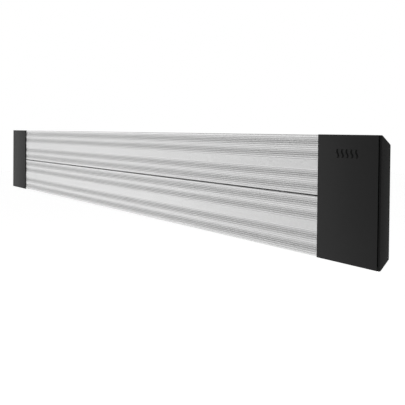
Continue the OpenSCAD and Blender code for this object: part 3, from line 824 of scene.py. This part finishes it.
cover = section_block("end_cover_sleeve_right", cap_in, sleeve_end, 0)
pick(cover, "FACE", lambda p, n: abs(n.x) > 0.9)
bpy.ops.mesh.delete(type="FACE")
done()
bevel(cover, lambda p, d: abs(d.x) > 0.9 and p.y < front_y + 1, 1.1, 4)
bevel(cover, lambda p, d: abs(d.x) > 0.9 and p.y > front_y + 1.5, 1.6, 4)
modify(cover, "SOLIDIFY", thickness=cover_wall * mm, offset=-1, use_even_offset=True)
bevel(cover, lambda p, d: abs(d.x) < 0.2 and (p.x < cap_in + 0.05 or p.x > sleeve_end - 0.05), 0.25, 2)
collar_out = 10
collar_seat = 6
collar = section_block("collar", cap_in - collar_out, cap_in + 1, step + 1.2)
cut(collar, section_block("collar_seat", cap_in, cap_in + collar_seat, cover_wall - 0.1), "UNION")
bore_span = (cap_in - collar_out - 2, cap_in + collar_seat + 2)
cut(collar, section_block("collar_bore", *bore_span, 2 * cover_wall))
cut(collar, block("collar_front", (bore_span[0], front_y, -half_height),
                  (bore_span[1], plate_back + 1.8, half_height)))
cover_left = copied(cover, "end_cover_sleeve_left", scale=(-1, 1, 1))
collar_left = copied(collar, "collar_left", scale=(-1, 1, 1))
cover = joined([cover, collar], "end_cover_sleeve_right")
cover_left = joined([cover_left, collar_left], "end_cover_sleeve_left")
smooth(cover, 30)
smooth(cover_left, 30)

cover_black = Finish("cover_black", Specular_IOR_Level=0.19)
powder = cover_black.noise(1500, 3, roughness=0.6)
powder_cloud = cover_black.noise(9, 3)
powder_tone = (powder * 0.5 + powder_cloud * 0.5).clamped()
cover_black.feed("Base Color", cover_black.blend(powder_tone, grey(0.005), grey(0.011)))
cover_black.feed("Roughness", 0.52 + 0.16 * powder)
cover_black.relief(powder, 0.05, 0.7)
wear(cover, cover_black, "heater", "cover_black", "end_cover_right")
wear(cover_left, cover_black, "heater", "cover_black", "end_cover_left")

# ---- End plates ----
# Moulded heat-resistant nylon, each with a rounded rim and a hollow plug inside the sleeve.
# The rim stands 1.6 mm off the sleeve, which leaves a fine shadow gap all round.
half_length = 580
end_thickness = 1.5
face = section_block("end_plate_moulding_right", half_length - end_thickness, half_length, 0)
bevel(face, lambda p, d: p.x > half_length - end_thickness + 0.1, 1.2, 4)
plug_start = 568
neck_inset = 4.5
neck_wall = 1.6
neck = section_block("neck", plug_start, half_length - end_thickness + 0.2, neck_inset)
plug = section_block("plug", plug_start, sleeve_end - 0.3, cover_wall + 0.2)
bevel(plug, lambda p, d: abs(d.x) > 0.9 and (p.y < front_y + 2 or p.y > back_y - 2), 0.6, 2)
end_right = face
cut(end_right, neck, "UNION")
cut(end_right, plug, "UNION")
cut(end_right, section_block("hollow", plug_start - 8, half_length - end_thickness,
                             neck_inset + neck_wall))
smooth(end_right, 30)
end_left = copied(end_right, "end_plate_moulding_left", scale=(-1, 1, 1))

end_black = Finish("end_black", Specular_IOR_Level=0.09)
mould_grain = end_black.cells(1300, output="Distance")
mould_cloud = end_black.noise(12, 3)
end_black.feed("Base Color", end_black.blend(mould_cloud, grey(0.004), grey(0.007)))
end_black.feed("Roughness", 0.5 + 0.14 * mould_grain)
end_black.relief(mould_grain, 0.05, 0.6)
wear(end_right, end_black, "heater", "end_black", "end_plate_right")
wear(end_left, end_black, "heater", "end_black", "end_plate_left")

# ---- Screws ----
# Pan-headed machine screws with cross recesses: zinc-plated M4 for the bars and the
# covers, and smaller black ones for the end plates.
pan = turned("pan", [(0, 0), (3.6, 0), (3.8, 0.2), (3.8, 0.9), (3.55, 1.5), (3.0, 2.0), (2.1, 2.3),
                     (1.0, 2.4), (0, 2.4)], 40)
for turn in (0, math.pi / 2):
    recess = block("recess", (-2.0, -0.45, 0.9), (2.0, 0.45, 4))
    pick(recess, "VERT", lambda p: p.z < 1)
    bpy.ops.transform.resize(value=(0.45, 0.5, 1), center_override=(0, 0, 0))
    done()
    seat(recess, (0, 0, 0), (0, 0, turn))
    cut(pan, recess)
soften(pan, 0.06, 1, 45)
smooth(pan, 30)
bar_screw_places = [(x, z) for x in (-400, -200, 0, 200, 400) for z in (-63.7, 63.7)]
cover_screw_places = [(x, z) for x in (-485, 485) for z in (-50, 50)]
plug_screw_places = [(x, z) for x in (-572, 572) for z in (-45, 45)]
for node, places, y, ratio, finish, slot in (
    ("bar_screws", bar_screw_places, housing_back, (1, 1, 1), bolt_steel, "bolt_steel"),
    ("cover_screws", cover_screw_places, housing_back, (1, 1, 1), bolt_steel, "bolt_steel"),
    ("end_plate_screws", plug_screw_places, back_y, (0.737, 0.737, 0.667), cover_black, "cover_black"),
):
    heads = []
    for k, (x, z) in enumerate(places):
        head = copied(pan, node + "_head", scale=ratio)
        seat(head, (x, y, z), (-math.pi / 2, 0.7 * k, 0))
        heads.append(head)
    wear(joined(heads, node.replace("screws", "screw_heads")), finish, "heater", slot, node)
bpy.data.objects.remove(pan)

# ---- Badge ----
# Five wavy strokes, the usual sign for radiant heat, stamped from gloss black foil and
# stuck on the front of the right-hand cover.
badge_x = (cap_in + sleeve_end) / 2
badge_z = half_height - 23.5
stroke_height = 10.6
stroke_width = 2.6
sway = 1.1
bends = 20
stroke = block("stroke", (-stroke_width / 2, front_y - 0.5, -stroke_height / 2),
               (stroke_width / 2, front_y, stroke_height / 2))
pick(stroke, "EDGE", lambda p, d: abs(d.z) > 0.9)
bpy.ops.mesh.subdivide(number_cuts=bends - 1)
for level in range(bends + 1):
    z = stroke_height * (level / bends - 0.5)
    pick(stroke, "VERT", lambda p: abs(p.z - z) < 0.05)
    bpy.ops.transform.translate(value=(sway * math.sin(2 * math.pi * level / bends) * mm, 0, 0))
done()
soften(stroke, 0.18, 2, 60)
smooth(stroke, 40)
stroke_pitch = 6.8
strokes = [copied(stroke, "stroke", (badge_x + k * stroke_pitch, 0, badge_z)) for k in range(-2, 3)]
bpy.data.objects.remove(stroke)
badge_gloss = Finish("badge_gloss", Specular_IOR_Level=0.1)
badge_speck = badge_gloss.noise(700, 2)
badge_gloss.feed("Base Color", badge_gloss.blend(badge_speck, grey(0.001), grey(0.003)))
badge_gloss.feed("Roughness", 0.08 + 0.08 * badge_speck)
badge_gloss.relief(badge_speck, 0.01, 0.3)
wear(joined(strokes, "badge_strokes"), badge_gloss, "heater", "badge_gloss", "badge")

# ---- Wiring ----
# Silicone-insulated leads run from the terminal block in the left-hand cover to the
# elements' ends, through a bimetal cut-out on the bulkhead, with an earth stud.


def insulation(name, dark, light):
    finish = Finish(name, Roughness=0.5)
    sheen = finish.noise(500, 3)
    finish.feed("Base Color", finish.blend(sheen, dark, light))
    finish.relief(finish.noise(2200, 2), 0.02)
    return finish


wire_brown = insulation("wire_brown", (0.10, 0.045, 0.02, 1), (0.15, 0.07, 0.035, 1))
wire_blue = insulation("wire_blue", (0.03, 0.09, 0.26, 1), (0.05, 0.13, 0.34, 1))
wire_green = insulation("wire_green", (0.16, 0.30, 0.03, 1), (0.50, 0.48, 0.04, 1))
dress(wire_brown, "live_wire", "switched_wire", "link_wire")
dress(wire_blue, "neutral_wire")
dress(wire_green, "earth_wire")
cutout_black = insulation("cutout_black", (0.015, 0.014, 0.013, 1), (0.03, 0.028, 0.026, 1))
dress(cutout_black, "thermal_cutout")

# ---- Cable gland ----
# A black nylon gland screwed through the back of the left-hand cover: body, dome nut with
# a claw seal of rubber, and a locknut inside. The supply cable comes in through it.
gland_x = -530
gland_z = -14
gland_body = hexagon("gland_hexagon", 22, 5)
gland_thread = threaded("gland_thread", 7.35, 8.0, 1.5, 40)
cut(gland_body, seat(gland_thread, (0, 0, 4.9)), "UNION")
gland_stub = threaded("gland_stub", 7.95, 7.2, 1.5, 40)
cut(gland_body, seat(gland_stub, (0, 0, 0.2), (math.pi, 0, 0)), "UNION")
cut(gland_body, bar("bore", (0, 0, 3), (0, 0, 0), 5.4, 26))
outward(gland_body)
gland_body.name = "gland_body_moulding"
smooth(gland_body, 30)
seat(gland_body, (gland_x, back_y, gland_z), ALONG_Y)
dome = hexagon("gland_dome_nut", 20, 7.8)
dome_top = turned("gland_dome_top", [(0, 7.0), (9.3, 7.0), (9.3, 8.6), (9.0, 10.2), (8.3, 11.8),
                                     (7.3, 13.0), (6.0, 13.7), (0, 13.75)])
cut(dome, dome_top, "UNION")
dome_bore = turned("dome_bore", [(0, -1), (7.5, -1), (7.5, 7.8), (5.5, 8.2), (5.5, 12.4),
                                 (4.7, 12.6), (4.7, 15), (0, 15)])
cut(dome, dome_bore)
smooth(dome, 30)
seat(dome, (gland_x, back_y + 5.2, gland_z), (-math.pi / 2, 0.26, 0))
seal = turned("gland_seal_ring", [(4.1, 7), (5.3, 7), (5.3, 17.2), (5.0, 17.4), (4.4, 17.4),
                                  (4.1, 17.1)])
smooth(seal, 30)
seat(seal, (gland_x, back_y, gland_z), ALONG_Y)
gland_black = Finish("gland_black", Specular_IOR_Level=0.4)
gland_grain = gland_black.noise(1700, 2)
gland_black.feed("Base Color", gland_black.blend(gland_grain, grey(0.012), grey(0.02)))
gland_black.feed("Roughness", 0.36 + 0.16 * gland_grain)
gland_black.relief(gland_grain, 0.03)
rubber = Finish("seal_rubber", Roughness=0.8)
rubber_bloom = rubber.noise(800, 4)
rubber.feed("Base Color", rubber.blend(rubber_bloom, grey(0.015), grey(0.03)))
rubber.relief(rubber_bloom, 0.04)
wear(gland_body, gland_black, "heater", "gland_black", "gland_body")
wear(dome, gland_black, "heater", "gland_black", "gland_dome")
wear(seal, rubber, "heater", "seal_rubber", "gland_seal")
dress(gland_black, "gland_locknut")
